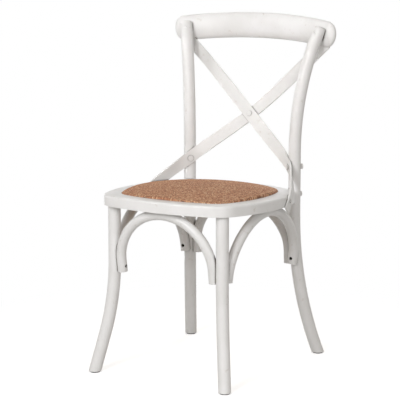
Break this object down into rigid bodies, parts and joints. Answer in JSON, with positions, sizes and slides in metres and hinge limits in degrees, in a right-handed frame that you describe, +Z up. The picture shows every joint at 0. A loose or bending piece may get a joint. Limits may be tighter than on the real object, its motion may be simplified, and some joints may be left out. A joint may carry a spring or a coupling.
{
  "type": "cross back dining chair",
  "caption": "White cross back dining chair with bentwood arches, a crossed strip back and a woven seat.",
  "frame": {"origin": "on the floor, at the middle of the bounding box seen from above", "axes": "+Z up, -Y is the front of the seat, +X is the right side as seen from in front"},
  "size_m": [0.4886, 0.5404, 0.8944],
  "materials": {
    "paint": "satin white paint over bent wood",
    "strip_paint": "satin white paint over flat steel",
    "plywood": "bare plywood",
    "padding": "foam and wadding",
    "weave": "brown woven cord",
    "steel": "dark zinc plated",
    "glide": "black plastic"
  },
  "bodies": {
    "root": {"seat_ring": "paint", "seat_board": "plywood", "seat_padding": "padding", "woven_seat": "weave", "front_leg_left": "paint", "front_leg_right": "paint", "rear_post_left": "paint", "rear_post_right": "paint", "front_brace": "paint", "rear_brace": "paint", "left_brace": "paint", "right_brace": "paint", "top_rail": "paint", "cross_strip_left": "strip_paint", "cross_strip_right": "strip_paint", "crossing_rivet": "strip_paint", "strip_post_bolts": "strip_paint", "strip_post_nuts": "strip_paint", "post_ring_bolts": "strip_paint", "rail_post_screws": "steel", "rail_post_plugs": "paint", "strip_ring_screws": "strip_paint", "brace_end_screws": "steel", "brace_top_screws": "steel", "seat_screws": "steel", "foot_glides": "glide", "glide_nails": "steel"}
  },
  "joints": []
}
